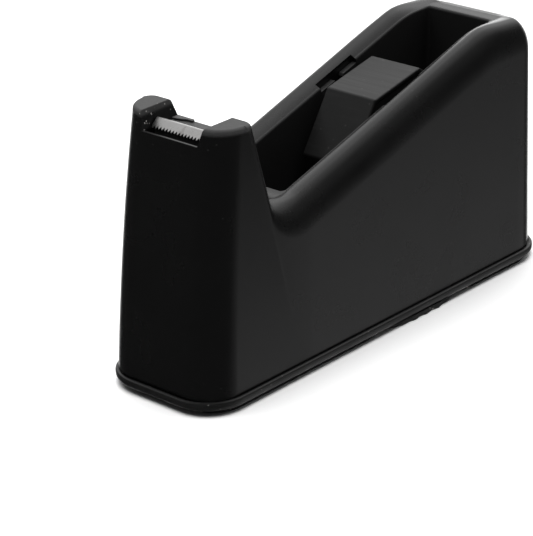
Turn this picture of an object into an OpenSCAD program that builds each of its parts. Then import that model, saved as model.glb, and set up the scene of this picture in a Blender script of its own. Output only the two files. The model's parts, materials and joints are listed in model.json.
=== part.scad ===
// Desk tape dispenser for one-inch tape on three-inch cores, in millimetres.
// X runs from the blade end (-X) to the rear (+X), Y is across and Z is up.
// The origin is the middle of the underside, on the table.

/* [Base] */
// Length over the base rim
rim_length = 213; // [208:1:225]
// Width over the base rim
rim_width = 62; // [60:0.5:64]
// Height of the base rim
rim_height = 4.2; // [3.5:0.1:5]
// Thickness of the foam pad
foam_thickness = 3; // [2:0.5:4]
// How much of the foam stands below the rim
foam_show = 2; // [1:0.5:2]
// How far the foam's edge is set in from the rim
foam_inset = 5; // [3:0.5:8]

/* [Housing] */
// Height of the level rear top above the table
rear_height = 106.8; // [104:0.2:108]
// Height of the two ears beside the blade
ear_height = 111.2; // [109:0.1:114]
// Fall of the long rim towards the front, in degrees
rim_slope = 16.55; // [15:0.05:17]
// Wall thickness of the plastic mouldings
wall = 2.6; // [2:0.1:3]
// Height of the side rims' crown above the edge of the well, at its highest
crown_height = 3.6; // [2:0.1:3.6]
// How far the rounding of the top edge reaches down the outside
edge_down = 12.5; // [11:0.5:14]
// Radius of the hollow between the tower and the rim
valley_r = 17; // [15:1:18]
// Lean of the tower's rear face from upright, in degrees
tower_lean = 13.2; // [12:0.2:15]

/* [Well] */
// Width of the well
well_width = 32.6; // [31:0.2:33]
// Front edge of the well along X
well_front = -46.8; // [-48:0.2:-45]
// Rear edge of the well along X
well_rear = 82.9; // [82:0.1:84]
// Height of the well floor
well_floor = 9; // [8.5:0.5:10]

/* [Hub] */
// Size of the eight-sided hub from corner to corner
hub_across = 75; // [73:0.5:75.5]
// Width of the hub
hub_width = 25.5; // [24:0.1:26]
// How far the hub's top face is turned at rest, in degrees
hub_turn = 11.6; // [0:0.1:22.5]
// Diameter of the axle pin
axle_d = 4; // [3.5:0.1:4.5]
// Axle centre along X
axle_x = 33.9; // [32:0.1:35]
// Axle centre height
axle_z = 61.1; // [60:0.1:62]

/* [Blade] */
// Width of the gap between the ears
gap_width = 28.2; // [27:0.2:29]
// Height of the front panel and the tape rest between the ears
panel_z = 104; // [103:0.5:105]
// Thickness of the blade steel
blade_t = 0.5; // [0.4:0.1:0.6]
// Number of teeth along the blade
teeth = 17; // [12:1:20]

/* [Hidden] */

// How far the base rim stands proud of the housing
rim_proud = 1.6;
rim_corner = 18;
rear_corner = 17;
body_corner = 14.5;
// The front corners get tighter towards the ears
ear_corner = 12;
rim_z0 = foam_show;
body_z0 = rim_z0 + rim_height;
body_half = rim_width / 2 - rim_proud;
body_end = rim_length / 2 - rim_proud;

// How far in the rounding of the top edge reaches, at the sides and at the rear
side_in = 6.6;
rear_in = 11.4;
// The crown's height along the sides, as a share of its highest
crown_run = [[-46.8, 0.64], [50, 1], [68, 0.95], [88, 0.45]];
rear_crown = 0.8;
// The crown falls to a shoulder beside the well
shoulder_in = 12.2;
shoulder = 0.9;

// Lean of the outside walls, as a slope against height; the sides lean only beside the tower
draft_side = 0.024;
draft_rear = 0.027;
draft_front = 0.134;
// The front face bows forward by this much at half its height
front_bow = 1.3;

// The level rear top turns down into the long rim here
bend_x = 69.2;
rim_tan = tan(rim_slope);

// Centre of the valley's arc, which meets the rim at the well's front edge
valley_x = well_front - valley_r * sin(rim_slope);
valley_z = rim_line(well_front) + valley_r * cos(rim_slope);
// The arc stops just short of upright, inside the tower
valley_stop = valley_x - 0.905 * valley_r;

// Tower's rear face: its place at the height of the ears
tower_rear = -73.1;
tower_tan = tan(tower_lean);

// Axle slots run square to the sloped rim
cradle_half = 11.6;
cradle_t = 2.4;
cradle_low = 9;
cradle_top = 32.6;
slot_play = 0.1;
run_play = 0.05;
fit_gap = 0.15;
axle_half = well_width / 2 + cradle_t - 0.3;

hub_r = hub_across / 2;
hub_wall = 2.2;
hub_tube_r = 5.5;

// Blade profile in X and Z: tooth tips, ridge, and the leg pressed into the seat
tip = [-86.7, panel_z];
ridge = [-83.3, panel_z + 2.8];
ridge_flat = 1.1;
leg_depth = 7;
blade_half = gap_width / 2 - 0.3;

// Blade seat, between the front panel and the tower's rear face
seat_front = -88.2;
seat_floor = 97;
trough_z = 99.5;

screw_x = [-90, 92.2];
screw_y = 18.5;
screw_r = 1.5;
screw_head_r = 2.8;
boss_r = 4;
boss_top = 30;

ballast = [29, 46, 42];
ballast_x = -68.8;

// Lip of the base plate, which stands up inside the housing
lip_height = 2.4;
lip_t = 2;

function rim_line(x) = rear_height - max(0, bend_x - x) * rim_tan;
function valley_arc(x) =
    valley_z - sqrt(pow(valley_r, 2) - pow(max(x, valley_stop) - valley_x, 2));
function top_z(x) = x > well_front ? rim_line(x) : valley_arc(x);
function tower_x(z) = tower_rear + (ear_height - z) * tower_tan;
function blend(a, b, share) = a + (b - a) * share;

// The outside walls at a height: how far up the tower it is, the front face and the front corners
function up_tower(z) = max(0, (z - body_z0) / (panel_z - body_z0));
function front_x(z) = -body_end + draft_front * (z - rim_z0)
    - front_bow * 4 * up_tower(z) * (1 - up_tower(z));
function front_corner(z) = blend(body_corner, ear_corner, up_tower(z));
function front_half(z) = body_half - draft_side * (z - rim_z0);
// Half the width along the long body, drawing in from the well to the front corners
function side_half(x, z) = blend(body_half, front_half(z),
    max(0, (well_front - x) / (well_front - front_x(z) - front_corner(z))));
// The crown runs along the sides, and dies away round the rear corners and into the valley
crown_fade = 16;
function crown_share(o) = pow(o[1][1], 4)
    * (1 - min(1, pow(max(0, (well_front - o[0][0]) / crown_fade), 2)));
function crown_up(o) =
    blend(rear_crown, crown_height * lookup(o[0][0], crown_run), crown_share(o));
function arc(c, r, a0, a1, n) =
    [for (i = [0 : n]) let (a = a0 + (a1 - a0) * i / n) c + r * [cos(a), sin(a)]];

// A rounded rectangle between two X values, with a corner radius at the front and at the rear
function plan(x0, x1, half, r0, r1, n = 8) = concat(
    arc([x1 - r1, half - r1], r1, 0, 90, n),
    arc([x0 + r0, half - r0], r0, 90, 180, n),
    arc([x0 + r0, r0 - half], r0, 180, 270, n),
    arc([x1 - r1, r1 - half], r1, 270, 360, n));

// The outside walls in plan: full width up to the well's front edge, narrower at the front
function walls_plan(z, thin, n = 8) =
    let (x0 = front_x(z) + thin, x1 = body_end - draft_rear * (z - rim_z0) - thin,
         half = body_half - thin, narrow = front_half(z) - thin,
         r0 = front_corner(z) - thin, r1 = rear_corner - thin)
    concat(
        arc([x1 - r1, half - r1], r1, 0, 90, n), [[well_front, half]],
        arc([x0 + r0, narrow - r0], r0, 90, 180, n), arc([x0 + r0, r0 - narrow], r0, 180, 270, n),
        [[well_front, -half]], arc([x1 - r1, r1 - half], r1, 270, 360, n));

// Outline of the long body with its outward normals, from the rear round the +Y side
wedge_front = -88;
side_x = concat(
    [for (x = [bend_x : -20 : 0]) x],
    [-15, -30, well_front],
    [for (i = [1 : 8]) well_front + (valley_stop - well_front) * i / 8],
    [-72, wedge_front]);
function half_outline(r, n) = concat(
    [for (i = [0 : n]) let (a = 90 * i / n)
        [[body_end - r + r * cos(a), body_half - r + r * sin(a)], [cos(a), sin(a)]]],
    [for (x = side_x) [[x, body_half], [0, 1]]]);
function mirrored(list) =
    [for (i = [len(list) - 1 : -1 : 0]) [for (v = list[i]) [v[0], -v[1]]]];

// One point of the long body: in from the outside wall by an inset, at a height. In front of
// the well it starts a touch outside the wall, which then trims it
function wedge_point(o, inset, z) =
    let (proud = o[0][0] < well_front ? 0.08 : 0)
    [o[0][0] - o[1][0] * (draft_rear * (z - rim_z0) + inset),
     o[0][1] - o[1][1] * (body_half - side_half(o[0][0], z) + inset - proud), z];

// The long body with its crowned rims, thinned by the wall for the cavity
module wedge(thin) {
    half = half_outline(rear_corner, 8);
    outline = concat(half, mirrored(half));
    n = len(outline);
    steps = 7;
    inner_steps = 3;
    grow = thin > 0 ? thin : -0.02;
    rings = concat(
        [[for (o = outline) wedge_point(o, grow, -1)]],
        [for (k = [0 : steps]) let (a = 90 * k / steps)
            [for (o = outline)
                let (reach = blend(rear_in, side_in, crown_share(o)) - thin)
                wedge_point(o, max(grow, thin + reach * (1 - cos(a))),
                            top_z(o[0][0]) - edge_down + (edge_down + crown_up(o) - thin) * sin(a))]],
        [for (k = [1 : inner_steps]) let (u = k / inner_steps)
            [for (o = outline)
                let (share = crown_share(o))
                wedge_point(o, blend(blend(rear_in, side_in, share), shoulder_in, u),
                            top_z(o[0][0]) - thin + blend(crown_up(o), shoulder * (1 + share) / 2, u * u))]]);
    points = [for (ring = rings) for (p = ring) p];
    last = (len(rings) - 1) * n;
    sides = [for (k = [0 : len(rings) - 2]) for (j = [0 : n - 1])
        let (a = k * n + j, b = k * n + (j + 1) % n)
        each [[a, a + n, b], [b, a + n, b + n]]];
    cap = [for (j = [0 : n / 2 - 2])
        let (a = last + j, b = last + j + 1, c = last + n - 2 - j, d = last + n - 1 - j)
        each [[a, d, b], [b, d, c]]];
    floor_face = [for (j = [0 : n / 2 - 2]) let (a = j, b = j + 1, c = n - 2 - j, d = n - 1 - j)
        each [[a, b, d], [b, c, d]]];
    polyhedron(points, concat(sides, cap, floor_face));
}

// Four leaning outside walls, from below the body to above the ears
module leaning_block(thin) {
    low = body_z0 - (thin > 0 ? 10 : 0);
    high = ear_height + 4;
    hull() for (i = [0 : 6]) {
        z = blend(low, high, i / 6);
        translate([0, 0, z]) linear_extrude(0.01) polygon(walls_plan(z, thin));
    }
}

// A profile in X and Z, extruded across the width
module across(half) {
    rotate([90, 0, 0]) linear_extrude(2 * half, center = true) children();
}

module tower(thin) {
    z1 = ear_height - thin;
    across(rim_width) polygon([
        [-rim_length, -1], [tower_x(-1) - thin, -1], [tower_x(z1) - thin, z1], [-rim_length, z1]]);
}

module shell_form(thin) {
    intersection() {
        leaning_block(thin);
        union() {
            wedge(thin);
            tower(thin);
        }
    }
}

// Side profile of the well, grown for its liner
module well_profile(grow) {
    r = 16 + grow;
    front_foot = well_front + 14 - grow;
    rear_foot = well_rear - 2.4 + grow;
    low = well_floor - grow;
    high = rear_height + 10;
    front_lean = atan2(14, rim_line(well_front) - well_floor);
    polygon(concat(
        [[well_front - grow - (high - rim_line(well_front)) * 0.22, high]],
        arc([front_foot + r * 0.86, low + r], r, 180 + front_lean, 270, 8),
        arc([rear_foot - r, low + r], r, 270, 360, 8),
        [[well_rear + grow, rear_height], [well_rear + grow, high]]));
}

// Puts children in the frame of the axle, with Z square to the sloped rim
module at_axle() {
    translate([axle_x, 0, axle_z]) rotate([0, -rim_slope, 0]) children();
}

module cradle_blank(play, depth, high) {
    at_axle() translate([-cradle_half - play, -depth, -cradle_low - play])
        cube([2 * (cradle_half + play), 2 * depth, cradle_low + high + 2 * play]);
}

module liner() {
    across(well_width / 2 + wall) well_profile(wall);
    cradle_blank(wall, well_width / 2 + cradle_t + wall, cradle_top - 6);
}

module boss(x, y) {
    translate([x, y, body_z0]) difference() {
        union() {
            cylinder(h = boss_top - body_z0, r = boss_r, $fn = 48);
            translate([-1, 0, lip_height + 0.4])
                cube([2, body_half - 1 - screw_y, boss_top - body_z0 - lip_height - 0.4]);
        }
        translate([0, 0, -1]) cylinder(h = 16, r = screw_r, $fn = 48);
    }
}

module ear_gap() {
    half = gap_width / 2;
    flare = 2.2;
    high = ear_height + 1;
    translate([-rim_length / 4, 0, 0]) rotate([90, 0, 90])
        linear_extrude(rim_length / 2, center = true) polygon([
            [-half, panel_z], [half, panel_z], [half + flare, high], [-half - flare, high]]);
    translate([seat_front, -half, seat_floor]) cube([25, 2 * half, panel_z - seat_floor + 1]);
}

module housing() {
    color("#17181a") difference() {
        union() {
            difference() {
                shell_form(0);
                difference() {
                    shell_form(wall);
                    liner();
                    tower_floor();
                }
            }
            for (x = screw_x) {
                boss(x, screw_y);
                mirror([0, 1, 0]) boss(x, screw_y);
            }
        }
        across(well_width / 2) well_profile(0);
        cradle_blank(fit_gap, well_width / 2 + cradle_t + fit_gap, 2 * cradle_top);
        ear_gap();
        translate([-rim_length, -rim_width, -10]) cube([2 * rim_length, 2 * rim_width, 10 + body_z0]);
    }
}

// Solid plastic under the blade seat
module tower_floor() {
    translate([-rim_length, -gap_width / 2 - wall, seat_floor - wall])
        cube([rim_length, gap_width + 2 * wall, 30]);
}

// The rim's outline, set in all round
module inset_plan(inset) {
    end = rim_length / 2 - inset;
    polygon(plan(-end, end, rim_width / 2 - inset, rim_corner - inset, rim_corner - inset));
}

module base_plate() {
    inner_end = body_end - wall - 0.2;
    inner_half = body_half - wall - 0.25;
    color("#141517") difference() {
        union() {
            translate([0, 0, rim_z0]) linear_extrude(rim_height) inset_plan(0);
            translate([0, 0, body_z0]) linear_extrude(lip_height)
                polygon(plan(-inner_end + 1, inner_end, inner_half, body_corner - wall,
                    rear_corner - wall));
        }
        translate([0, 0, rim_z0 - 1]) linear_extrude(foam_thickness - foam_show + 1)
            inset_plan(foam_inset - 0.3);
        translate([0, 0, rim_z0 + 3.2]) linear_extrude(10)
            polygon(plan(-inner_end + 1 + lip_t, inner_end - lip_t, inner_half - lip_t,
                body_corner - wall - lip_t, rear_corner - wall - lip_t));
        for (x = screw_x, y = [-screw_y, screw_y]) translate([x, y, 0]) {
            cylinder(h = 20, r = screw_r + 0.2, $fn = 48);
            cylinder(h = foam_thickness + 1.2, r = screw_head_r + 0.1, $fn = 48);
        }
    }
}

module foam_pad() {
    color("#232427") linear_extrude(foam_thickness) inset_plan(foam_inset);
}

module ballast_block() {
    color("#6b6a66") translate([ballast_x, 0, body_z0])
        linear_extrude(ballast[2])
            polygon(plan(-ballast[0] / 2, ballast[0] / 2, ballast[1] / 2, 3, 3));
}

module base_screws() {
    color("#a8a9ab") for (x = screw_x, y = [-screw_y, screw_y]) translate([x, y, 0]) {
        translate([0, 0, foam_thickness]) cylinder(h = 1.2, r = screw_head_r, $fn = 48);
        translate([0, 0, foam_thickness + 1.2]) cylinder(h = 12, r = screw_r - 0.05, $fn = 48);
    }
}

// The blade's bent section, with its top side shifted down for the underside
module blade_section(t) {
    polygon([tip, ridge, ridge + [ridge_flat, 0], [ridge[0] + ridge_flat, ridge[1] - leg_depth],
        [ridge[0] + ridge_flat - t, ridge[1] - leg_depth], [ridge[0] + ridge_flat - t, ridge[1] - t],
        ridge + [t * 0.35, -t], tip + [t * 0.35, -t]]);
}

module cutter_blade() {
    pitch = 2 * blade_half / teeth;
    face = atan2(ridge[1] - tip[1], ridge[0] - tip[0]);
    color("#c6c8ca") difference() {
        across(blade_half) blade_section(blade_t);
        for (i = [0 : teeth]) translate([tip[0], -blade_half + i * pitch, tip[1]])
            rotate([0, -face, 0]) translate([0, 0, -3]) linear_extrude(6) polygon([
                [-1, -pitch * 0.95], [1.15, 0], [-1, pitch * 0.95]]);
    }
}

module blade_seat() {
    shift = [blade_t * 0.35, -blade_t];
    leg_x = ridge[0] + ridge_flat;
    color("#1d1e20") difference() {
        across(gap_width / 2 - 0.05) polygon([
            [seat_front, seat_floor], [seat_front, trough_z], [tip[0] + 1.6, trough_z],
            [tip[0] + 1.6, tip[1] + 1.6 * tan(39.5) - 0.8], ridge + shift + [0.2, -0.15],
            [leg_x, ridge[1] - blade_t - 0.15], [leg_x + 0.9, ridge[1] - blade_t - 0.9],
            [leg_x + 1.2, panel_z], [tower_x(panel_z), panel_z], [tower_x(seat_floor), seat_floor]]);
        translate([leg_x - blade_t, -blade_half - 0.1, ridge[1] - leg_depth])
            cube([blade_t, 2 * blade_half + 0.2, 20]);
    }
}

module axle_cradle(side) {
    depth = well_width / 2 + cradle_t;
    color("#26272a") intersection() {
        difference() {
            cradle_blank(0, depth, cradle_top);
            cradle_blank(fit_gap, well_width / 2, 2 * cradle_top);
            at_axle() {
                rotate([90, 0, 0]) cylinder(h = rim_width, r = axle_d / 2 + slot_play, center = true, $fn = 64);
                translate([-axle_d / 2 - slot_play, -rim_width / 2, 0])
                    cube([axle_d + 2 * slot_play, rim_width, 60]);
            }
        }
        translate([0, side * rim_width / 2, 0]) cube([rim_length, rim_width, 400], center = true);
    }
}

module axle_cradle_left() {
    axle_cradle(1);
}

module axle_cradle_right() {
    axle_cradle(-1);
}

module axle_pin() {
    chamfer = 0.4;
    color("#b9bbbe") translate([axle_x, 0, axle_z]) rotate([90, 0, 0]) {
        cylinder(h = 2 * (axle_half - chamfer), r = axle_d / 2, center = true, $fn = 64);
        for (s = [0, 1]) mirror([0, 0, s]) translate([0, 0, axle_half - chamfer])
            cylinder(h = chamfer, r1 = axle_d / 2, r2 = axle_d / 2 - chamfer, $fn = 64);
    }
}

// Puts children in the hub's frame, with Z along the axle towards -Y
module at_hub() {
    translate([axle_x, 0, axle_z]) rotate([90, 0, 0]) rotate([0, 0, 22.5 + hub_turn]) children();
}

module eight_sided(r, low, high) {
    translate([0, 0, low]) linear_extrude(high - low) circle(r = r, $fn = 8);
}

module hub_drum() {
    half = hub_width / 2;
    ledge = 1.8;
    color("#2b2c2f") at_hub() difference() {
        union() {
            difference() {
                eight_sided(hub_r, -half, half);
                eight_sided(hub_r - hub_wall, -half + 2, half + 1);
            }
            difference() {
                eight_sided(hub_r - hub_wall + 0.01, -half + 1, half - 2);
                eight_sided(hub_r - hub_wall - ledge, -half, half);
            }
            translate([0, 0, -half]) cylinder(h = hub_width - 2, r = hub_tube_r, $fn = 64);
            for (a = [0 : 45 : 315]) rotate([0, 0, a])
                translate([hub_tube_r - 1, -0.8, -half + 1]) cube([hub_r - 8.2, 1.6, hub_width - 3]);
        }
        cylinder(h = 2 * hub_width, r = axle_d / 2 + run_play, center = true, $fn = 64);
    }
}

module hub_cap() {
    half = hub_width / 2;
    color("#2b2c2f") at_hub() difference() {
        eight_sided(hub_r - hub_wall - 0.05, half - 2, half);
        translate([0, 0, half - 3]) cylinder(h = 4, r = axle_d / 2 + run_play, $fn = 64);
    }
}

housing();
base_plate();
foam_pad();
ballast_block();
base_screws();
blade_seat();
cutter_blade();
axle_cradle_left();
axle_cradle_right();
axle_pin();
hub_drum();
hub_cap();
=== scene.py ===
import json
import math

import bmesh
import bpy
from mathutils import Matrix, Vector


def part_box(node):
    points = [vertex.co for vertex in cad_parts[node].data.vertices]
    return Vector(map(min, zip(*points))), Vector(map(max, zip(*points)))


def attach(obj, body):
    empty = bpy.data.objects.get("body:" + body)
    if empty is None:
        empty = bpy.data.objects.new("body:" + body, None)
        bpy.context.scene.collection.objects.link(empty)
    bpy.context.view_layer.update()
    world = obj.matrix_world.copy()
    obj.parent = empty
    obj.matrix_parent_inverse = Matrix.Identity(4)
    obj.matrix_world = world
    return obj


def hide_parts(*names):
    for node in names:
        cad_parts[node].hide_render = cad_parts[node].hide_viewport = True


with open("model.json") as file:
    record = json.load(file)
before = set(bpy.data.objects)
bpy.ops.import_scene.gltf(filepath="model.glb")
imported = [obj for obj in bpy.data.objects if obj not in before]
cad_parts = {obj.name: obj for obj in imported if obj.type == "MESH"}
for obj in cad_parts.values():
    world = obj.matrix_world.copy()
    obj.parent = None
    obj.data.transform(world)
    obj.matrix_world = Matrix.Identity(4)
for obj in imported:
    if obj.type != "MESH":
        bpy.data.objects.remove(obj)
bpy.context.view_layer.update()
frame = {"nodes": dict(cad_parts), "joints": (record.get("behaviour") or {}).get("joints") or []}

# Lengths are millimetres while a mesh is built, and metres once it is an object.
MM = 0.001

# ---------------------------------------------------------------- sizes from the frame


def box_mm(node):
    low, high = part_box(node)
    return low / MM, high / MM


JOINTS = {joint["name"]: joint for joint in frame["joints"]}
RIM_LOW, RIM_HIGH = box_mm("base_plate")
HOUSING_LOW, HOUSING_HIGH = box_mm("housing")
HUB_LOW, HUB_HIGH = box_mm("hub_drum")
CAP_LOW, CAP_HIGH = box_mm("hub_cap")
PIN_LOW, PIN_HIGH = box_mm("axle_pin")
FOAM_LOW, FOAM_HIGH = box_mm("foam_pad")

AXLE = Vector(JOINTS["hub_spin"]["pos_m"]) / MM
LIFT = Vector(JOINTS["axle_lift_out"]["axis"])
SLOPE = math.atan2(-LIFT.x, LIFT.z)

# Base and outside walls
BASE_Z = HOUSING_LOW.z
RIM_Z = RIM_LOW.z
EAR_Z = HOUSING_HIGH.z
RIM_PROUD = 1.6
HALF = RIM_HIGH.y - RIM_PROUD
END = RIM_HIGH.x - RIM_PROUD
REAR_CORNER = 17.0
CORNER = 14.5
EAR_CORNER = 12.0
FRONT_BOW = 1.3
RIM_CORNER = 18.0
DRAFT_SIDE = 0.024
DRAFT_REAR = 0.027
DRAFT_FRONT = 0.134

# Long sloped rim, the level rear top and the hollow in front of the well
REAR_Z = 106.8
BEND_X = 69.2
BEND_SOFT = 7.0
EDGE_DOWN = 12.5
SIDE_IN = 6.6
REAR_IN = 11.4
SIDE_CROWN = ((-46.8, 2.3), (50.0, 3.6), (68.0, 3.4), (88.0, 1.6))
REAR_CROWN = 0.8
CROWN_FADE = 16.0
SHOULDER_IN = 12.2
SHOULDER = 0.9
VALLEY_R = 17.0
WEDGE_FRONT = -80.0

# Well
WELL_HALF = 16.3
WELL_FRONT = -46.8
WELL_REAR = 82.9
WELL_FLOOR = 9.0
WELL_CORNER = 1.8
WELL_DRAFT = 0.004
FLOOR_R = 16.0
FOOT_TOP = WELL_FLOOR + FLOOR_R
FRONT_RUN = 14
REAR_RUN = 2.4

# Tower, with the gap between its ears
TOWER_REAR = -73.1
TOWER_TAN = math.tan(math.radians(13.2))
TOWER_CORNER = 4.6
EAR_ROUND = 1.3
GAP_HALF = 14.1
GAP_FLARE = 2.2
PANEL_Z = 104.0
PANEL_BACK = -90.3
TROUGH_Z = 99.5
SEAT_FRONT = -88.2
SEAT_FLOOR = 97.0

# Blade
TIP = Vector((-86.7, 0, PANEL_Z))
RIDGE = Vector((-83.3, 0, PANEL_Z + 2.8))
BLADE_HALF = 13.8
BLADE_T = 0.45
TEETH = 17
TOOTH = 1.45
BLADE_BEND = 0.55
FACE_SLOPE = 39.5

# Cradles: the plate in the well's wall, and the open slot for the pin
CRADLE_HALF = 11.6
CRADLE_LOW = -9.0
CRADLE_TOP = 32.6
CRADLE_DEEP = 2.4
SLOT_HALF = 2.1

# Hub: an eight-sided drum, its corners turned from the long axis, and the cap in its near end
HUB_R = 37.5
HUB_TURN = math.radians(22.5 + 11.6)
HUB_WALL = 2.2
HUB_WEB = 2.0
TUBE_R = 5.5
BORE_R = 2.05
ROUND_STEPS = 48

# Foam: how far its cut edge is drawn in, and where along the near side it has crept out
FOAM_IN = 2.2
FOAM_STEP = 2.0
CREEP_X = 22
CREEP_SPAN = 24


def rim_line(x):
    """Height of the rim: level at the rear, a soft bend, then a straight fall."""
    fall = math.tan(SLOPE)
    ahead = BEND_X - x
    if ahead <= -BEND_SOFT:
        return REAR_Z
    if ahead < BEND_SOFT:
        return REAR_Z - fall * (ahead + BEND_SOFT) ** 2 / (4 * BEND_SOFT)
    return REAR_Z - fall * ahead


VALLEY_X = WELL_FRONT - VALLEY_R * math.sin(SLOPE)
VALLEY_Z = rim_line(WELL_FRONT) + VALLEY_R * math.cos(SLOPE)
VALLEY_STOP = VALLEY_X - 0.93 * VALLEY_R


def top_z(x):
    """Height of the long body's top, with the hollow behind the tower as an arc."""
    if x > WELL_FRONT:
        return rim_line(x)
    return VALLEY_Z - math.sqrt(VALLEY_R ** 2 - (max(x, VALLEY_STOP) - VALLEY_X) ** 2)


def tower_x(z):
    return TOWER_REAR + (EAR_Z - z) * TOWER_TAN


def up_tower(z):
    return max(0.0, (z - BASE_Z) / (PANEL_Z - BASE_Z))


def front_x(z):
    """The leaning front face, bowed a little forward at half its height."""
    up = up_tower(z)
    return -END + DRAFT_FRONT * (z - RIM_Z) - FRONT_BOW * 4 * up * (1 - up)


def blend(a, b, share):
    return a + (b - a) * share


def front_corner(z):
    return blend(CORNER, EAR_CORNER, up_tower(z))


def side_half(x, z):
    """Half the width: the sides are upright at the well and draw in beside the tower."""
    start = front_x(z) + front_corner(z)
    share = (WELL_FRONT - x) / (WELL_FRONT - start)
    return HALF - DRAFT_SIDE * (z - RIM_Z) * min(1.0, max(0.0, share))


def crown_share(x, turn):
    """How much of the side rims' crown there is: none at the rear or in the hollow."""
    fade = max(0.0, (WELL_FRONT - x) / CROWN_FADE)
    return math.sin(turn) ** 4 * (1 - min(1.0, fade * fade))


def side_crown(x):
    """Height of the crown along the sides, through its stations."""
    for (x0, z0), (x1, z1) in zip(SIDE_CROWN, SIDE_CROWN[1:]):
        if x < x1:
            return blend(z0, z1, max(0.0, (x - x0) / (x1 - x0)))
    return SIDE_CROWN[-1][1]


# ---------------------------------------------------------------- mesh helpers


def new_object(name, verts, faces):
    mesh = bpy.data.meshes.new(name)
    mesh.from_pydata([tuple(v) for v in verts], [], faces)
    mesh.validate()
    obj = bpy.data.objects.new(name, mesh)
    bpy.context.scene.collection.objects.link(obj)
    return obj


def edit(obj, work):
    """Runs work on a bmesh of the object and writes the result back."""
    bm = bmesh.new()
    bm.from_mesh(obj.data)
    work(bm)
    bm.to_mesh(obj.data)
    bm.free()
    obj.data.update()
    return obj


def outward(obj):
    return edit(obj, lambda bm: bmesh.ops.recalc_face_normals(bm, faces=bm.faces))


def loft(name, rings):
    """A closed body through rings of the same number of points."""
    n = len(rings[0])
    verts = [p for ring in rings for p in ring]
    faces = []
    for k in range(len(rings) - 1):
        for j in range(n):
            a, b = k * n + j, k * n + (j + 1) % n
            faces.append((a, b, b + n, a + n))
    faces.append(tuple(reversed(range(n))))
    faces.append(tuple((len(rings) - 1) * n + j for j in range(n)))
    return outward(new_object(name, verts, faces))


def prism(name, outline, half):
    """An outline of X and Z points, as a body across Y."""
    return loft(name, [[(x, y, z) for x, z in outline] for y in (-half, half)])


def evaluated(obj):
    """Applies the object's modifiers to its mesh."""
    graph = bpy.context.evaluated_depsgraph_get()
    mesh = bpy.data.meshes.new_from_object(obj.evaluated_get(graph))
    obj.modifiers.clear()
    obj.data = mesh
    return obj


def combine(obj, other, operation):
    """Joins or cuts with another closed body, which is then removed."""
    step = obj.modifiers.new("combine", "BOOLEAN")
    step.operation = operation
    step.solver = "MANIFOLD"
    step.object = other
    bpy.context.view_layer.update()
    evaluated(obj)
    bpy.data.objects.remove(other)
    return obj


def bevel_where(obj, pick, width, segments):
    """Rounds the edges that pick chooses."""

    def work(bm):
        edges = [e for e in bm.edges if pick(e)]
        bmesh.ops.bevel(
            bm, geom=edges, offset=width, segments=segments, profile=0.5,
            affect="EDGES", clamp_overlap=False, offset_type="OFFSET")

    return edit(obj, work)


def convex(e, degrees):
    """Whether an edge stands out and its faces turn by more than the degrees."""
    return len(e.link_faces) == 2 and e.is_convex and e.calc_face_angle(0) > math.radians(degrees)


def round_edges(obj, width, segments, degrees=30.0):
    return bevel_where(obj, lambda e: convex(e, degrees), width, segments)


def finish_piece(obj, body, replaced, material, smooth=30.0):
    """Puts a built mesh into metres, shades it and ties it to the frame."""
    obj.data.transform(Matrix.Scale(MM, 4))
    obj.data.polygons.foreach_set("use_smooth", [True] * len(obj.data.polygons))
    obj.data.set_sharp_from_angle(angle=math.radians(smooth))
    weighted = obj.modifiers.new("normals", "WEIGHTED_NORMAL")
    weighted.mode = "FACE_AREA"
    weighted.keep_sharp = True
    evaluated(obj)
    obj.data.materials.clear()
    obj.data.materials.append(material)
    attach(obj, body)
    for node in replaced:
        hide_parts(node)


def arc(start, stop, steps):
    """The turns along an arc, both ends included, from degrees."""
    return [math.radians(start + (stop - start) * i / steps) for i in range(steps + 1)]


def plan(x0, x1, half, r0, r1, steps, half1=None):
    """A rounded rectangle between two X values, with one radius and half width at each end."""
    points = []
    half1 = half1 or half
    corners = [(x1 - r1, half1 - r1, r1, 0), (x0 + r0, half - r0, r0, 90),
               (x0 + r0, r0 - half, r0, 180), (x1 - r1, r1 - half1, r1, 270)]
    for cx, cy, r, start in corners:
        points += [(cx + r * math.cos(a), cy + r * math.sin(a)) for a in arc(start, start + 90, steps)]
    return points


# ---------------------------------------------------------------- materials


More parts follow.
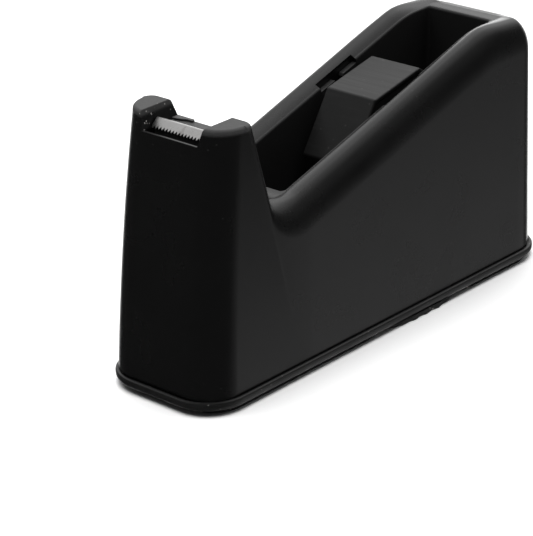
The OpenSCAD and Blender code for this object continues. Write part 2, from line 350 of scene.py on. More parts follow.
class Nodes:
    """Short calls for building a material's node tree."""

    def __init__(self, name):
        self.material = bpy.data.materials.new(name)
        self.material.use_nodes = True
        self.tree = self.material.node_tree
        self.shader = self.tree.nodes["Principled BSDF"]
        coord = self.tree.nodes.new("ShaderNodeTexCoord")
        self.place = coord.outputs["Object"]

    def add(self, kind, inputs=(), **settings):
        node = self.tree.nodes.new("ShaderNode" + kind)
        for key, value in settings.items():
            setattr(node, key, value)
        for key, value in dict(inputs).items():
            self.put(node.inputs[key], value)
        return node

    def put(self, socket, value):
        if isinstance(value, bpy.types.NodeSocket):
            self.tree.links.new(value, socket)
        else:
            socket.default_value = value

    def stretch(self, scale):
        return self.add("Mapping", {"Vector": self.place, "Scale": scale}).outputs["Vector"]

    def noise(self, scale, detail=3.0, rough=0.5, vector=None):
        node = self.add("TexNoise", {
            "Vector": vector or self.place, "Scale": scale, "Detail": detail, "Roughness": rough})
        return node.outputs["Fac"]

    def span(self, value, low, high, to_low, to_high, kind="LINEAR"):
        node = self.add("MapRange", {
            "Value": value, "From Min": low, "From Max": high, "To Min": to_low, "To Max": to_high},
            interpolation_type=kind)
        return node.outputs["Result"]

    def math(self, operation, a, b=0.0):
        node = self.add("Math", operation=operation)
        self.put(node.inputs[0], a)
        self.put(node.inputs[1], b)
        return node.outputs["Value"]

    def blend(self, factor, a, b):
        node = self.add("Mix", data_type="RGBA")
        self.put(node.inputs["Factor"], factor)
        self.put(node.inputs["A"], a)
        self.put(node.inputs["B"], b)
        return node.outputs["Result"]

    def axis(self, index):
        node = self.add("SeparateXYZ", {"Vector": self.place})
        return node.outputs[index]

    def bump(self, height, distance, strength=1.0, under=None):
        node = self.add("Bump", {"Height": height, "Distance": distance, "Strength": strength})
        if under is not None:
            self.put(node.inputs["Normal"], under)
        return node.outputs["Normal"]

    def finish(self, colour, roughness, normal, **fixed):
        self.put(self.shader.inputs["Base Color"], colour)
        self.put(self.shader.inputs["Roughness"], roughness)
        self.put(self.shader.inputs["Normal"], normal)
        for key, value in fixed.items():
            self.shader.inputs[key.replace("_", " ")].default_value = value
        return self.material


def grey(level, warm=0.0):
    return (level * (1 + warm), level, level * (1 - warm), 1.0)


def scratches(m, count, seed):
    """Hairlines in a few directions and in patches, as a mask from stretched noise."""
    total = None
    for turn in range(count):
        node = m.add("Mapping", {
            "Vector": m.place, "Rotation": (0.3 * turn, 0.5 + 0.9 * turn, seed + 1.7 * turn),
            "Scale": (18.0, 2600.0, 2600.0)})
        line = m.span(m.noise(1.0, 0.0, 0.4, node.outputs["Vector"]), 0.73, 0.77, 0.0, 1.0)
        total = line if total is None else m.math("MAXIMUM", total, line)
    patch = m.span(m.noise(34.0, 2.0), 0.6, 0.72, 0.0, 0.7)
    return m.math("MULTIPLY", total, patch)


def specks(m, scale, size):
    """Scattered dust grains, as a mask."""
    cells = m.add("TexVoronoi", {"Vector": m.place, "Scale": scale, "Randomness": 1.0})
    grain = m.span(cells.outputs["Distance"], size * 0.6, size, 1.0, 0.0)
    chance = m.add("SeparateColor", {"Color": cells.outputs["Color"]}).outputs[0]
    return m.math("MULTIPLY", grain, m.math("GREATER_THAN", chance, 0.86))


def within(m, full, gone):
    """A mask that is full near the middle plane and gone beyond, both in millimetres across."""
    return m.span(m.math("ABSOLUTE", m.axis(1)), full * MM, gone * MM, 1.0, 0.0)


def well_inside(m, along):
    """The well's matt walls, as a mask."""
    across = within(m, WELL_HALF + 0.1, WELL_HALF + 0.4)
    behind_front = m.span(along, (WELL_FRONT - 0.2) * MM, (WELL_FRONT + 0.2) * MM, 0.0, 1.0)
    ahead_of_rear = m.span(along, (WELL_REAR + 0.9) * MM, (WELL_REAR + 1.3) * MM, 1.0, 0.0)
    return m.math("MULTIPLY", across, m.math("MULTIPLY", behind_front, ahead_of_rear))


def gap_crumbs(m, along, near_blade):
    """Pale crumbs on the plastic between the ears, as a mask."""
    gap_top = GAP_HALF + GAP_FLARE
    between = m.math("MULTIPLY", near_blade, within(m, gap_top, gap_top + 0.4))
    behind_panel = m.span(along, (PANEL_BACK - 0.2) * MM, (PANEL_BACK + 0.3) * MM, 0.0, 1.0)
    return m.math("MULTIPLY", specks(m, 900.0, 0.34), m.math("MULTIPLY", between, behind_panel))


def shell_plastic():
    """Glossy black moulding, worn on the ears and matt in the well, with hairlines and dust."""
    m = Nodes("shell_plastic")
    height = m.axis(2)
    along = m.axis(0)
    on_tower = m.span(along, (TOWER_REAR - 0.9) * MM, (TOWER_REAR + 3.1) * MM, 1.0, 0.0)
    ear_tops = m.span(height, (EAR_Z - 3.0) * MM, (EAR_Z - 1.2) * MM, 0.0, 1.0, "SMOOTHSTEP")
    ears = m.math("MULTIPLY", ear_tops, on_tower)
    high_up = m.span(height, (PANEL_Z - 3.0) * MM, (PANEL_Z + 1.0) * MM, 0.0, 1.0)
    near_blade = m.math("MULTIPLY", high_up, on_tower)
    cloud = m.noise(38.0, 4.0, 0.6)
    fine = m.noise(1100.0, 2.0, 0.6)
    lines = scratches(m, 3, 0.4)
    dust = m.math("MULTIPLY", specks(m, 620.0, 0.13), m.span(near_blade, 0.0, 1.0, 0.3, 1.0))
    inside = well_inside(m, along)
    base = m.blend(cloud, grey(0.0025), grey(0.0045))
    base = m.blend(ears, base, m.blend(fine, grey(0.02), grey(0.045)))
    base = m.blend(inside, base, m.blend(fine, grey(0.007), grey(0.013)))
    base = m.blend(m.math("MULTIPLY", lines, 0.12), base, grey(0.05))
    base = m.blend(m.math("MULTIPLY", dust, 0.4), base, grey(0.2, 0.02))
    crumbs = gap_crumbs(m, along, near_blade)
    base = m.blend(m.math("MULTIPLY", crumbs, 0.8), base, grey(0.3, 0.03))
    rough = m.span(cloud, 0.3, 0.7, 0.2, 0.3)
    rough = m.math("MAXIMUM", rough, m.math("MULTIPLY", ears, 0.6))
    rough = m.math("MAXIMUM", rough, m.math("MULTIPLY", inside, 0.5))
    rough = m.math("MAXIMUM", rough, m.math("MULTIPLY", lines, 0.34))
    wave = m.bump(m.noise(30.0, 1.0, 0.4), 0.0004, 0.2)
    skin = m.bump(fine, 0.00001, 0.15, wave)
    return m.finish(base, rough, skin, IOR=1.5)


def base_plastic():
    """The same black a little duller, with a mottled skin and grains along it."""
    m = Nodes("base_plastic")
    cloud = m.noise(90.0, 4.0, 0.6)
    fine = m.noise(900.0, 3.0, 0.6)
    dust = specks(m, 560.0, 0.16)
    base = m.blend(cloud, grey(0.006), grey(0.012))
    base = m.blend(m.math("MULTIPLY", dust, 0.5), base, grey(0.3, 0.03))
    return m.finish(base, m.span(cloud, 0.3, 0.7, 0.34, 0.5), m.bump(fine, 0.00003, 0.3), IOR=1.5)


def foam_rubber():
    """Closed-cell foam with a cut edge and pale grains stuck to it."""
    m = Nodes("foam")
    cells = m.add("TexVoronoi", {"Vector": m.place, "Scale": 1500.0})
    rough_noise = m.noise(420.0, 5.0, 0.65)
    grit = m.math("MULTIPLY", specks(m, 520.0, 0.42), m.span(m.noise(45.0), 0.5, 0.6, 0.0, 1.0))
    base = m.blend(rough_noise, grey(0.01), grey(0.03))
    base = m.blend(m.math("MULTIPLY", grit, 0.9), base, grey(0.42, 0.05))
    height = m.math("ADD", cells.outputs["Distance"], rough_noise)
    return m.finish(base, 0.88, m.bump(height, 0.0002, 0.6))


def seat_plastic(name, low, high, rough):
    """Matt black plastic with a fine grain."""
    m = Nodes(name)
    fine = m.noise(1300.0, 3.0, 0.65)
    cloud = m.noise(120.0, 3.0, 0.5)
    dust = specks(m, 1100.0, 0.24)
    base = m.blend(fine, grey(low), grey(high))
    base = m.blend(m.math("MULTIPLY", dust, 0.18), base, grey(0.3, 0.02))
    sheen = m.span(cloud, 0.3, 0.7, rough - 0.06, rough + 0.08)
    return m.finish(base, sheen, m.bump(fine, 0.00006, 0.5))


def hub_plastic():
    """Satin black moulding, scuffed along its width by tape cores."""
    m = Nodes("hub_plastic")
    scuff = m.noise(1.0, 3.0, 0.6, m.stretch((900.0, 30.0, 900.0)))
    cloud = m.noise(70.0, 4.0, 0.6)
    fine = m.noise(1200.0, 2.0, 0.6)
    dust = specks(m, 500.0, 0.25)
    base = m.blend(cloud, grey(0.006), grey(0.01))
    base = m.blend(m.span(scuff, 0.55, 0.75, 0.0, 0.35), base, grey(0.025))
    base = m.blend(m.math("MULTIPLY", dust, 0.12), base, grey(0.2, 0.02))
    rough = m.span(scuff, 0.35, 0.7, 0.36, 0.5)
    return m.finish(base, rough, m.bump(fine, 0.00003, 0.3), IOR=1.5)


def steel(name, level, rough, grain):
    """Rolled or drawn steel with fine lines in one direction and faint stains."""
    m = Nodes(name)
    lines = m.noise(1.0, 4.0, 0.6, m.stretch(grain))
    stain = m.noise(300.0, 4.0, 0.65)
    base = m.blend(lines, grey(level * 0.8, 0.01), grey(level, 0.01))
    base = m.blend(m.span(stain, 0.56, 0.7, 0.0, 0.5), base, grey(level * 0.45, 0.05))
    sheen = m.span(lines, 0.3, 0.7, rough - 0.06, rough + 0.1)
    return m.finish(base, sheen, m.bump(lines, 0.00002, 0.4), Metallic=1.0)


def cast_iron():
    """Rough grey iron with lumps and pits, for the ballast."""
    m = Nodes("ballast")
    lumps = m.noise(240.0, 5.0, 0.6)
    pits = m.add("TexVoronoi", {"Vector": m.place, "Scale": 420.0}).outputs["Distance"]
    base = m.blend(lumps, grey(0.09, 0.03), grey(0.2, 0.02))
    return m.finish(base, 0.72, m.bump(m.math("ADD", lumps, pits), 0.0003, 0.5), Metallic=0.4)


def paper_floor():
    """A pale sheet, faintly clouded."""
    m = Nodes("floor")
    cloud = m.noise(3.0, 3.0, 0.5)
    return m.finish(m.blend(cloud, grey(0.86), grey(0.88)), 0.75, m.bump(m.noise(180.0), 0.0002, 0.1))


SHELL = shell_plastic()
BASE = base_plastic()
FOAM = foam_rubber()
SEAT = seat_plastic("seat_plastic", 0.02, 0.06, 0.55)
CRADLE = seat_plastic("cradle_plastic", 0.008, 0.018, 0.45)
HUB = hub_plastic()
BLADE = steel("blade_steel", 0.6, 0.3, (3000.0, 120.0, 3000.0))
PIN = steel("pin_steel", 0.6, 0.28, (2500.0, 60.0, 2500.0))
SCREW = steel("screw_steel", 0.6, 0.34, (700.0, 700.0, 90.0))
IRON = cast_iron()

# ---------------------------------------------------------------- housing


def wedge_sides():
    """Stations along a long side, from the rear corner to the tower."""
    level = [END - REAR_CORNER - 3, BEND_X + BEND_SOFT + 3]
    bend = [BEND_X + BEND_SOFT * (1 - i / 5) for i in range(11)]
    slope = [52, 42, 32, 22, 12, 2, -8, -18, -28, -36, WELL_FRONT + 4, WELL_FRONT + 0.9]
    arc_from, arc_to = WELL_FRONT - 0.9, VALLEY_STOP
    valley = [arc_from + (arc_to - arc_from) * math.sin(math.pi / 2 * i / 22) for i in range(23)]
    return level + bend + slope + valley + [VALLEY_STOP - 2, WEDGE_FRONT]


def wedge_outline():
    """Points of the outside wall at the base, each with the turn of its outward direction."""
    half = []
    for turn in arc(0, 90, 12):
        x = END - REAR_CORNER * (1 - math.cos(turn))
        half.append((x, HALF - REAR_CORNER * (1 - math.sin(turn)), turn))
    half += [(x, HALF, math.pi / 2) for x in wedge_sides()]
    return half + [(x, -y, -turn) for x, y, turn in reversed(half)]


def wedge_at(o, inset, z):
    """A point of the long body, in from its outside wall."""
    x, y, turn = o
    lean_x = DRAFT_REAR * (z - RIM_Z)
    lean_y = HALF - side_half(x, z)
    return (x - math.cos(turn) * (lean_x + inset), y - math.sin(turn) * (lean_y + inset), z)


def wedge_rings(outline):
    """From the foot up the outside, over the crown and down to the shoulder beside the well."""
    rings = [[wedge_at(o, 0, BASE_Z) for o in outline]]
    share = [crown_share(o[0], o[2]) for o in outline]
    crown = [blend(REAR_CROWN, side_crown(o[0]), s) for o, s in zip(outline, share)]
    reach = [blend(REAR_IN, SIDE_IN, s) for s in share]
    for a in arc(0, 90, 20):
        rings.append([wedge_at(o, r * (1 - math.cos(a)),
                               top_z(o[0]) - EDGE_DOWN + (EDGE_DOWN + c) * math.sin(a))
                      for o, c, r in zip(outline, crown, reach)])
    for k in range(1, 9):
        u = k / 8
        rings.append([wedge_at(o, blend(r, SHOULDER_IN, u),
                               top_z(o[0]) + blend(c, SHOULDER, u * u))
                      for o, c, r in zip(outline, crown, reach)])
    return rings


def wedge_body():
    """The long body with its crowned rims and a level cap between them."""
    outline = wedge_outline()
    rings = wedge_rings(outline)
    n = len(outline)
    verts = [p for ring in rings for p in ring]
    faces = [(k * n + j, k * n + (j + 1) % n, (k + 1) * n + (j + 1) % n, (k + 1) * n + j)
             for k in range(len(rings) - 1) for j in range(n)]
    last = (len(rings) - 1) * n
    faces += [(last + j, last + j + 1, last + n - 2 - j, last + n - 1 - j) for j in range(n // 2 - 1)]
    faces.append(tuple(range(n)))
    return outward(new_object("housing", verts, faces))


def well_cutter():
    """The well: inclined front wall, rounded foot at each end, walls drawn in a little."""
    foot_front = WELL_FRONT + FRONT_RUN + FLOOR_R * 0.86
    foot_rear = WELL_REAR - REAR_RUN - FLOOR_R
    lean = math.atan2(FRONT_RUN, rim_line(WELL_FRONT) - WELL_FLOOR)
    knee_z = WELL_FLOOR + FLOOR_R * (1 - math.sin(lean))
    knee_x = foot_front - FLOOR_R * math.cos(lean)
    levels = [WELL_FLOOR + FLOOR_R * (1 - math.cos(a)) for a in arc(0, 84, 14)]
    levels += [FOOT_TOP, 45, 70, 90, REAR_Z + 14]
    rings = []
    for z in levels:
        down = max(0.0, FOOT_TOP - z)
        reach = math.sqrt(max(0.0, FLOOR_R ** 2 - down ** 2))
        x1 = foot_rear + reach + REAR_RUN * max(0.0, z - FOOT_TOP) / (REAR_Z - FOOT_TOP)
        x0 = foot_front - reach
        if z > knee_z:
            x0 = knee_x + (WELL_FRONT - knee_x) * (z - knee_z) / (rim_line(WELL_FRONT) - knee_z)
        half = WELL_HALF - WELL_DRAFT * (REAR_Z - z)
        rings.append([(x, y, z) for x, y in plan(x0, x1, half, WELL_CORNER, WELL_CORNER, 6)])
    return loft("well", rings)


def on_well_rim(e):
    """Edges where the well breaks through the top."""
    if not convex(e, 20):
        return False
    for v in e.verts:
        x, y, z = v.co
        on_wall = abs(abs(y) - WELL_HALF) < 0.35 or x < WELL_FRONT + 2.2 or x > WELL_REAR - 2.2
        inside = WELL_FRONT - 0.4 < x < WELL_REAR + 0.4 and abs(y) < WELL_HALF + 0.4
        if not (on_wall and inside and -0.5 < z - top_z(x) < SHOULDER + 0.6):
            return False
    return True


def at_axle(v, w, y):
    """A point from the axle: v along the sloped rim and w square to it."""
    return (AXLE.x + v * math.cos(SLOPE) - w * math.sin(SLOPE), y,
            AXLE.z + v * math.sin(SLOPE) + w * math.cos(SLOPE))


def cradle_pocket():
    """The room for both cradles, through the well's walls and up past the rim."""
    v, low, high = CRADLE_HALF + 0.07, CRADLE_LOW - 0.08, 70
    y = WELL_HALF + CRADLE_DEEP + 0.06
    corners = [(-v, low), (v, low), (v, high), (-v, high)]
    return loft("pocket", [[at_axle(a, b, s) for a, b in corners] for s in (-y, y)])


def tower_body():
    """The tower: leaning walls, big front corners, small rear ones and rounded ear tops."""
    levels = [(BASE_Z + 8.5 * i, 0.0) for i in range(12)]
    for a in arc(0, 90, 8):
        levels.append((EAR_Z - EAR_ROUND * (1 - math.sin(a)), EAR_ROUND * (1 - math.cos(a))))
    rings = []
    for z, inset in levels:
        half = side_half(WEDGE_FRONT - 10, z) - inset - 0.01
        rear_half = side_half(tower_x(z), z) - inset - 0.01
        rings.append([(x, y, z) for x, y in plan(
            front_x(z) + inset, tower_x(z) - inset, half, front_corner(z) - inset * 0.8,
            TOWER_CORNER - inset * 0.8, 14, rear_half)])
    return loft("tower", rings)


def ear_gap():
    """The tape's way between the ears: walls that open upwards."""
    high = EAR_Z + 1
    flare = GAP_FLARE * (high - PANEL_Z) / (EAR_Z - PANEL_Z)
    wide = GAP_HALF + flare
    outline = [(-GAP_HALF, PANEL_Z), (GAP_HALF, PANEL_Z), (wide, high), (-wide, high)]
    return loft("gap", [[(x, y, z) for y, z in outline] for x in (-110, -60)])


def on_ear_gap(e):
    """Convex edges that the gap has cut into the tower."""
    if not convex(e, 25):
        return False
    for v in e.verts:
        wall = GAP_HALF + GAP_FLARE * (v.co.z - PANEL_Z) / (EAR_Z - PANEL_Z)
        if v.co.z < PANEL_Z - 0.01 or abs(v.co.y) > wall + 0.02:
            return False
    return True


def seat_cutter(name, x0, x1, floor):
    """A straight-sided pocket between the ears, from its floor to just above the front panel."""
    half = GAP_HALF - 0.05
    corners = [(x0, -half), (x1, -half), (x1, half), (x0, half)]
    return loft(name, [[(x, y, z) for x, y in corners] for z in (floor, PANEL_Z + 0.6)])


def join_flat(bm):
    """Flat faces that meet become one."""
    bmesh.ops.dissolve_limit(bm, angle_limit=math.radians(1), verts=bm.verts, edges=bm.edges)


def split_many_sided(bm):
    """Triangles in place of the faces that wrap round an opening."""
    bmesh.ops.triangulate(bm, faces=[f for f in bm.faces if len(f.verts) > 4])


def make_housing():
    """The whole moulding: the long body with its well, the tower with its gap, and the pockets."""
    tower = combine(tower_body(), ear_gap(), "DIFFERENCE")
    bevel_where(tower, on_ear_gap, 0.28, 3)
    shell = combine(wedge_body(), well_cutter(), "DIFFERENCE")
    edit(shell, split_many_sided)
    bevel_where(shell, on_well_rim, 1.1, 5)
    shell = combine(shell, tower, "UNION")
    shell = combine(shell, cradle_pocket(), "DIFFERENCE")
    shell = combine(shell, seat_cutter("pocket", SEAT_FRONT, -60, SEAT_FLOOR), "DIFFERENCE")
    shell = combine(shell, seat_cutter("trough", PANEL_BACK, SEAT_FRONT + 0.1, TROUGH_Z), "DIFFERENCE")
    finish_piece(shell, "base", ["housing"], SHELL, 32)


make_housing()

# ---------------------------------------------------------------- base, foam and the hidden pieces


def rim_plan(inset, steps):
    """The rim's outline, drawn in by the inset."""
    end, half, corner = RIM_HIGH.x - inset, RIM_HIGH.y - inset, RIM_CORNER - inset
    return plan(-end, end, half, corner, corner, steps)


def quarter(z, radius, upper):
    """Levels round the rim's lower or upper edge, as (inset, height) pairs."""
    if upper:
        return [(radius * (1 - math.cos(a)), z + radius * math.sin(a)) for a in arc(0, 90, 5)]
    return [(radius * (1 - math.sin(a)), z + radius * (1 - math.cos(a))) for a in arc(0, 90, 5)]


def make_base():
    """The tray's rim: rounded outside, with a narrow groove beside the housing."""
    groove, floor = RIM_PROUD - 0.35, BASE_Z - 1.0
    levels = [(6.0, RIM_Z)] + quarter(RIM_Z, 2.2, False) + quarter(BASE_Z - 1.1, 0.9, True)
    levels += [(groove, BASE_Z - 0.2), (groove, floor), (RIM_PROUD + 1.2, floor),
               (RIM_PROUD + 1.2, BASE_Z), (RIM_PROUD + 3.0, BASE_Z)]
    rim = loft("base_rim", [[(x, y, z) for x, y in rim_plan(inset, 16)] for inset, z in levels])
    finish_piece(rim, "base", ["base_plate"], BASE)


def short_steps(outline, step):
    """The same outline with points about every step."""
    fine = []
    for (x0, y0), (x1, y1) in zip(outline, outline[1:] + outline[:1]):
        parts = max(1, round(math.hypot(x1 - x0, y1 - y0) / step))
        fine += [(blend(x0, x1, k / parts), blend(y0, y1, k / parts)) for k in range(parts)]
    return fine


def foam_reach(x, y, up, inset):
    """How far the foam's cut edge stands out at a place, never past the rim."""
    creep = math.exp(-((x - CREEP_X) / CREEP_SPAN) ** 4) if y < 0 else 0.0
    ripple = 0.22 * math.sin(x * 0.9) + 0.18 * math.sin(x * 2.3 + 1) + 0.1 * math.sin(y * 1.7)
    bulge = 0.35 * math.sin(math.pi * up)
    out = blend(-FOAM_IN, inset - 0.5, creep) + bulge + ripple * (0.4 + 0.6 * creep)
    return min(inset - 0.02, out)


def foam_point(x, y, up, inset):
    """A point of the foam's edge, moved mostly across and a little along."""
    out = foam_reach(x, y, up, inset)
    length = math.hypot(x, y * 3) or 1.0
    z = FOAM_LOW.z + (RIM_Z - FOAM_LOW.z) * up
    return (x + out * 0.3 * x / length, y + math.copysign(out, y), z)


def make_foam():
    """The glued pad, which has crept out to the rim along part of the near side."""
    inset = RIM_HIGH.x - FOAM_HIGH.x
    outline = short_steps(rim_plan(inset, 12), FOAM_STEP)
    rings = [[foam_point(x, y, step / 6, inset) for x, y in outline] for step in range(7)]
    pad = loft("foam_pad_edge", rings)
    finish_piece(pad, "base", ["foam_pad"], FOAM, 50)


make_base()
make_foam()
for node, material in (("ballast_block", IRON), ("base_screws", SCREW)):
    frame["nodes"][node].data.materials.clear()
    frame["nodes"][node].data.materials.append(material)

# ---------------------------------------------------------------- blade and its seat


def make_seat():
    """The insert: a trough behind the front panel, a bar under the blade and the tape rest."""
    bar_x = RIDGE.x + 1.1
    front, floor, bar_top = SEAT_FRONT + 0.03, SEAT_FLOOR + 0.03, RIDGE.z - 0.75
    outline = [(front, floor), (front, TROUGH_Z), (TIP.x + 1.7, TROUGH_Z), (TIP.x + 1.9, TIP.z + 0.55),
               (RIDGE.x + 0.2, bar_top), (bar_x + 0.7, bar_top), (bar_x + 1.3, PANEL_Z),
               (tower_x(PANEL_Z) - 0.05, PANEL_Z), (tower_x(SEAT_FLOOR) - 0.05, floor)]
    seat = prism("blade_seat_insert", outline, GAP_HALF - 0.1)
    round_edges(seat, 0.3, 3)
    finish_piece(seat, "base", ["blade_seat"], SEAT)


def lip_outline(rear):
    """The tape rest's lip seen from above: a broad outer end that narrows to a round inner one."""
    outer, r, inner = GAP_HALF - 0.3, 0.9, 5.6
    outline = [(rear, outer), (rear - 3.6, outer), (rear - 3.0, 10.5), (rear - 1.6, 7.2)]
    return outline + [(rear - r + r * math.cos(a), inner + r * math.sin(a)) for a in arc(200, 350, 6)]


def make_rest_lip():
    """The low raised corner at the back of the tape rest, on a narrower foot."""
    rear = tower_x(PANEL_Z) - 0.5
    outline = lip_outline(rear)
    lip = loft("tape_rest_lip", [[(x, y, PANEL_Z + up) for x, y in outline] for up in (0.35, 0.95)])
    round_edges(lip, 0.15, 2)
    drawn_in = [(blend(x, rear - 1.4, 0.35), blend(y, 9.6, 0.12)) for x, y in outline]
    foot = loft("lip_foot", [[(x, y, PANEL_Z + up) for x, y in drawn_in] for up in (-0.2, 0.5)])
    combine(lip, foot, "UNION")
    finish_piece(lip, "base", [], SEAT)


def blade_bend():
    """The blade's section from the end of its sloped face: over the ridge and down into the seat."""
    r, centre_z = BLADE_BEND, RIDGE.z - BLADE_BEND
    over = arc(90 + FACE_SLOPE, 90, 5)
    points = [(RIDGE.x + 0.35 + r * math.cos(a), centre_z + r * math.sin(a)) for a in over]
    points += [(RIDGE.x + 0.6 + r * math.cos(a), centre_z + r * math.sin(a)) for a in arc(90, 0, 5)]
    return points + [(RIDGE.x + 0.6 + r, RIDGE.z - 6.5)]


def blade_profile(bend, point):
    """The whole section; point is 1 at a tooth's tip and 0 between two teeth."""
    face = (RIDGE - TIP).normalized()
    length = (Vector((bend[0][0], 0, bend[0][1])) - TIP).length
    lead = [TOOTH * (1 - point), TOOTH + 0.25, length * 0.6, length * 0.85]
    return [TIP + face * s for s in lead] + [Vector((x, 0, z)) for x, z in bend]


def blade_sheet():
    """The strip without its thickness, with a section at every quarter of a tooth."""
    bend = blade_bend()
    columns = 4 * TEETH
    verts = []
    for j in range(columns + 1):
        profile = blade_profile(bend, 1 - abs(2 * (j % 4) / 4 - 1))
        y = -BLADE_HALF + 2 * BLADE_HALF * j / columns
        verts += [(p.x, y, p.z) for p in profile]
    rows = len(profile)
    starts = [j * rows + i for j in range(columns) for i in range(rows - 1)]
    return new_object("cutter_blade_strip", verts, [(a, a + 1, a + rows + 1, a + rows) for a in starts])


def make_blade():
    """A bent steel strip with a row of pointed teeth along its lower edge."""
    blade = blade_sheet()
    thick = blade.modifiers.new("thickness", "SOLIDIFY")
    thick.thickness = BLADE_T
    thick.offset = 1.0
    bpy.context.view_layer.update()
    evaluated(blade)
    outward(blade)
    finish_piece(blade, "base", ["cutter_blade"], BLADE, 35)


make_seat()
make_rest_lip()
make_blade()

# ---------------------------------------------------------------- axle and hub


def make_cradle(side, name, node):
    """A slotted plate in the well's wall, open at the top, with a round foot to the slot."""
    v, low, top, slot = CRADLE_HALF, CRADLE_LOW, CRADLE_TOP, SLOT_HALF
    outline = [(-v, low + 2), (-v + 2, low), (v - 2, low), (v, low + 2), (v, top), (slot + 0.7, top),
               (slot, top - 0.9), (slot, 0)]
    outline += [(slot * math.cos(a), slot * math.sin(a)) for a in arc(-15, -165, 10)]
    outline += [(-slot, 0), (-slot, top - 0.9), (-slot - 0.7, top), (-v, top)]
    depth = (side * (WELL_HALF + 0.02), side * (WELL_HALF + CRADLE_DEEP))
    plate = loft(name, [[at_axle(a, b, y) for a, b in outline] for y in depth])
    round_edges(plate, 0.22, 2, 40)
    finish_piece(plate, "base", [node], CRADLE)


def about_axle(r, y, corners, turn=0.0):
    """A ring of equally spaced corners about the axle."""
    turns = [turn + 2 * math.pi * k / corners for k in range(corners)]
    return [(AXLE.x + r * math.cos(a), y, AXLE.z + r * math.sin(a)) for a in turns]


def circle(r, y):
    return about_axle(r, y, ROUND_STEPS)


def eight(r, y):
    return about_axle(r, y, 8, HUB_TURN)


def cut_bore(obj, near, far):
    """The hole for the pin, right through."""
    combine(obj, loft("bore", [circle(BORE_R, near), circle(BORE_R, far)]), "DIFFERENCE")


def make_pin():
    """The rod, rounded at both ends."""
    r = (PIN_HIGH.z - PIN_LOW.z) / 2
    end = PIN_HIGH.y
    levels = [(-end, r - 0.5), (-end + 0.15, r - 0.25), (-end + 0.45, r - 0.02), (-end + 0.6, r)]
    levels += [(-y, inner) for y, inner in reversed(levels)]
    rod = loft("axle_pin_rod", [circle(inner, y) for y, inner in levels])
    finish_piece(rod, "axle", ["axle_pin"], PIN)


def make_hub():
    """The eight-sided drum: a wall, a far web and a recess on the near side for the cap."""
    near, far = HUB_LOW.y, HUB_HIGH.y
    drum = loft("hub_drum_shell", [eight(HUB_R, near), eight(HUB_R, far)])
    inner = HUB_R - HUB_WALL
    hollow = loft("hollow", [eight(inner, near - 1), eight(inner, far - HUB_WEB)])
    combine(drum, hollow, "DIFFERENCE")
    edit(drum, join_flat)
    round_edges(drum, 0.7, 4, 20)
    combine(drum, loft("tube", [circle(TUBE_R, near + 2), circle(TUBE_R, far - 1)]), "UNION")
    cut_bore(drum, near - 5, far + 5)
    finish_piece(drum, "hub", ["hub_drum"], HUB, 32)


def make_cap():
    """The cap in the drum's near end, with a raised middle and a bore for the pin."""
    near = CAP_LOW.y
    cap = loft("hub_cap_plate", [eight(HUB_R - 2.3, near + 0.35), eight(HUB_R - 2.3, CAP_HIGH.y)])
    wide, narrow = HUB_R - 9, HUB_R - 10.2
    dish = loft("dish", [eight(wide, near - 1), eight(wide, near + 0.3), eight(narrow, near + 1.1)])
    combine(cap, dish, "DIFFERENCE")
    boss = loft("boss", [circle(4.8, near), circle(5.2, near + 0.3), circle(5.4, near + 1.9)])
    combine(cap, boss, "UNION")
    cut_bore(cap, near - 5, near + 9)
    finish_piece(cap, "hub", ["hub_cap"], HUB, 32)


make_cradle(1, "axle_cradle_far", "axle_cradle_left")
make_cradle(-1, "axle_cradle_near", "axle_cradle_right")
make_pin()
make_hub()
make_cap()

# ---------------------------------------------------------------- floor, light and camera


# What the glossy shell reflects: each glow's direction, the cosines where it starts and is full,
# and its level. They are added up over an even level.
GLOW_BASE = 0.042
GLOWS = [
    ((0.6, 0.55, 0.5), 0.5, 1.0, 0.93),
    ((0.6, -0.1, 0.8), 0.72, 1.0, 0.95),
    ((0.45, -0.75, 0.5), 0.86, 1.0, 0.15),
    ((-0.35, 0.6, 0.72), 0.92, 1.0, 0.7),
    ((0.5, -0.45, -0.74), 0.74, 1.0, 0.29),
    ((0.643, -0.376, -0.667), 0.905, 0.965, 0.25),
    ((0.67, 0.62, -0.3), 0.8, 1.0, 1.7),
]

# Places in metres and turns in degrees
FLOOR_HALF = 6.0
OVERHEAD_PLACE = (0.0, 0.1, 1.3)
OVERHEAD_SIZE = 1.4
OVERHEAD_POWER = 36
CAMERA_PLACE = (-0.7061, -0.6166, 0.4333)
CAMERA_TURN = 42.8
CAMERA_FALL = 23.75
CAMERA_ROLL = 1.81
CAMERA_LENS = 168


def place_object(name, data):
    obj = bpy.data.objects.new(name, data)
    bpy.context.scene.collection.objects.link(obj)
    return obj


def make_floor():
    """A pale sheet under the object, which the shell doesn't reflect."""
    h = FLOOR_HALF
    mesh = bpy.data.meshes.new("floor")
    mesh.from_pydata([(-h, -h, 0), (h, -h, 0), (h, h, 0), (-h, h, 0)], [], [(0, 1, 2, 3)])
    floor = place_object("floor", mesh)
    mesh.materials.append(paper_floor())
    floor.visible_glossy = False


def add_glow(tree, towards, aim_at, start, full, level):
    """One glow's brightness in the direction that is looked at."""
    lobe = tree.nodes.new("ShaderNodeVectorMath")
    lobe.operation = "DOT_PRODUCT"
    tree.links.new(towards, lobe.inputs[0])
    lobe.inputs[1].default_value = Vector(aim_at).normalized()
    span = tree.nodes.new("ShaderNodeMapRange")
    span.interpolation_type = "SMOOTHSTEP"
    tree.links.new(lobe.outputs["Value"], span.inputs["Value"])
    span.inputs["From Min"].default_value = start
    span.inputs["From Max"].default_value = full
    span.inputs["To Max"].default_value = level
    return span.outputs["Result"]


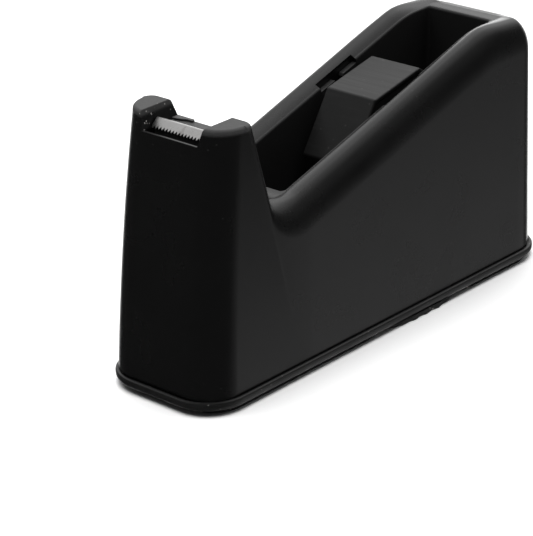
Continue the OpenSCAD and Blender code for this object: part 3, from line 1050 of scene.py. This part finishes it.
def make_world():
    """A dim room with the glows in it."""
    world = bpy.data.worlds.new("studio")
    bpy.context.scene.world = world
    world.use_nodes = True
    tree = world.node_tree
    towards = tree.nodes.new("ShaderNodeTexCoord").outputs["Generated"]
    total, *others = [add_glow(tree, towards, *glow) for glow in GLOWS]
    for glow in others:
        add = tree.nodes.new("ShaderNodeMath")
        tree.links.new(total, add.inputs[0])
        tree.links.new(glow, add.inputs[1])
        total = add.outputs["Value"]
    lift = tree.nodes.new("ShaderNodeMath")
    tree.links.new(total, lift.inputs[0])
    lift.inputs[1].default_value = GLOW_BASE
    background = tree.nodes["Background"]
    background.inputs["Color"].default_value = (1.0, 1.0, 1.0, 1.0)
    tree.links.new(lift.outputs["Value"], background.inputs["Strength"])


def make_overhead():
    """A broad soft light above, which the shell doesn't reflect."""
    data = bpy.data.lights.new("overhead", "AREA")
    data.shape = "RECTANGLE"
    data.size = data.size_y = OVERHEAD_SIZE
    data.energy = OVERHEAD_POWER
    light = place_object("overhead", data)
    light.location = OVERHEAD_PLACE
    light.rotation_euler = (-light.location).to_track_quat("-Z", "Y").to_euler()
    light.visible_glossy = False


def make_camera():
    """The photograph's viewpoint: in front of the blade end, to its right and above."""
    turn, fall, roll = (math.radians(a) for a in (CAMERA_TURN, CAMERA_FALL, CAMERA_ROLL))
    level = math.cos(fall)
    ahead = Vector((math.cos(turn) * level, math.sin(turn) * level, -math.sin(fall)))
    right = Vector((math.sin(turn), -math.cos(turn), 0))
    down = ahead.cross(right)
    right_rolled = right * math.cos(roll) + down * math.sin(roll)
    down_rolled = down * math.cos(roll) - right * math.sin(roll)
    data = bpy.data.cameras.new("camera")
    data.sensor_width = 36
    data.lens = CAMERA_LENS
    data.clip_start, data.clip_end = 0.05, 40
    camera = place_object("camera", data)
    turned = Matrix((right_rolled, -down_rolled, -ahead)).transposed()
    camera.matrix_world = Matrix.Translation(CAMERA_PLACE) @ turned.to_4x4()
    bpy.context.scene.camera = camera


make_floor()
make_world()
make_overhead()
make_camera()
bpy.context.scene.view_settings.view_transform = "Standard"
